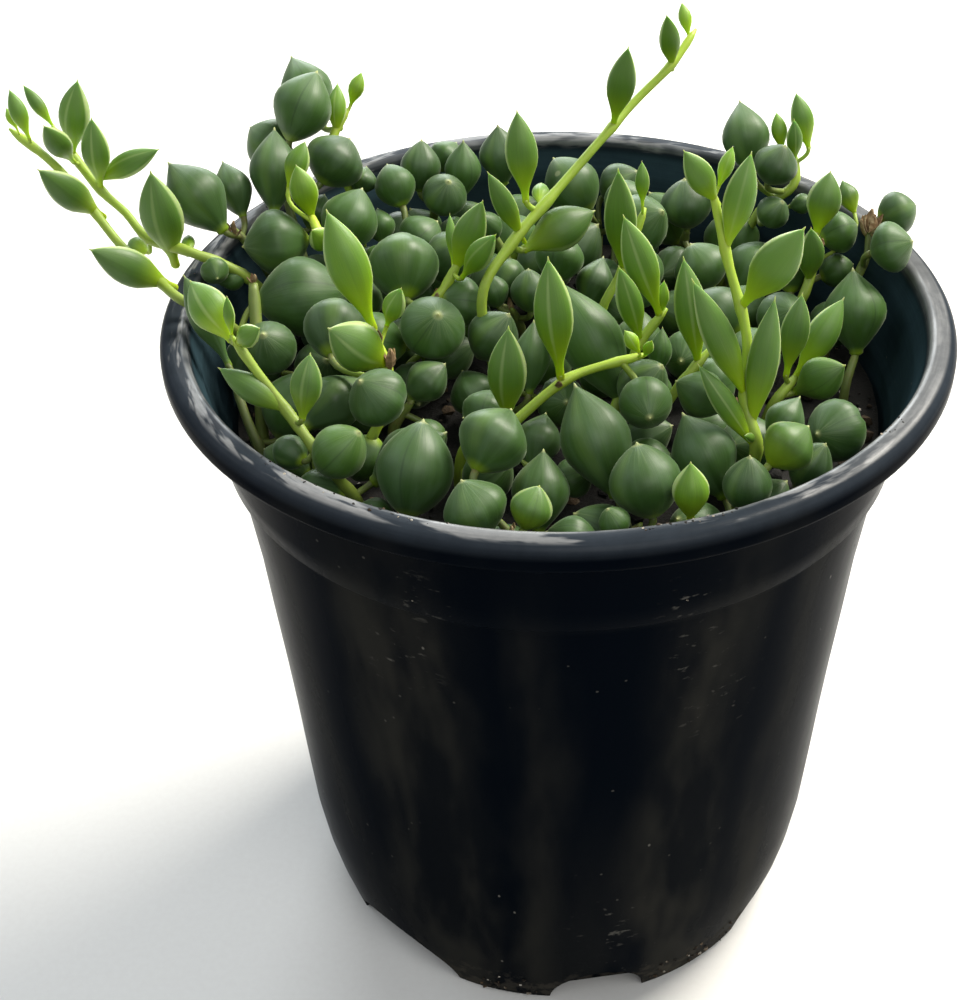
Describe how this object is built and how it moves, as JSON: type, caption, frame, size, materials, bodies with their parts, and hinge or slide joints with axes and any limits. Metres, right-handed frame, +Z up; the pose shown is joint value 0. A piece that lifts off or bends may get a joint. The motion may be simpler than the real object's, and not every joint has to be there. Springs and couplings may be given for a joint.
{
  "type": "potted string of pearls",
  "caption": "Round black nursery pot filled with growing mix, with fleshy pearl leaves in a dense bed and slim young shoots that reach over the rim.",
  "frame": {"origin": "middle of the pot's flat underside, on the surface that the pot stands on", "axes": "+Z up along the pot's axis, +X to the right and +Y away from the viewer, with the longest shoots reaching out towards -X"},
  "size_m": [0.1323, 0.1088, 0.1373],
  "materials": {
    "pot": "glossy black moulded plastic with dust and fine scuffs",
    "soil": "rough dark growing mix with brown crumbs and pale grit",
    "young": "bright yellow-green young leaves and stems, waxy and slightly translucent",
    "pearl": "dark green full-grown leaves, waxy with a grey bloom and fine lengthwise streaks"
  },
  "bodies": {
    "root": {"pot": "pot", "shoot_back_left": "young", "shoot_back_right": "young", "shoot_bright_left": "young", "shoot_centre_back": "young", "shoot_centre_right": "young", "shoot_diagonal": "young", "shoot_heap_back_left": "pearl", "shoot_heap_left": "pearl", "shoot_heap_right": "pearl", "shoot_leaning_right": "young", "shoot_left_inner": "young", "shoot_left_low": "young", "shoot_mid_left": "young", "shoot_reaching_left_high": "young", "shoot_reaching_left_low": "young", "shoot_right_back": "young", "shoot_right_fan": "young", "shoot_small_bright": "young", "shoot_tall": "young", "shoot_upright_right": "young", "soil": "soil", "strand_01": "pearl", "strand_02": "pearl", "strand_03": "pearl", "strand_04": "pearl", "strand_05": "pearl", "strand_06": "pearl", "strand_07": "pearl", "strand_08": "pearl", "strand_09": "pearl", "strand_10": "pearl", "strand_11": "pearl", "strand_12": "pearl", "strand_13": "pearl", "strand_14": "pearl", "strand_15": "pearl", "strand_16": "pearl", "strand_17": "pearl", "strand_18": "pearl", "strand_19": "pearl", "strand_20": "pearl", "strand_21": "pearl", "strand_22": "pearl", "strand_24": "pearl", "strand_25": "pearl", "strand_26": "pearl", "strand_27": "pearl"}
  },
  "joints": []
}
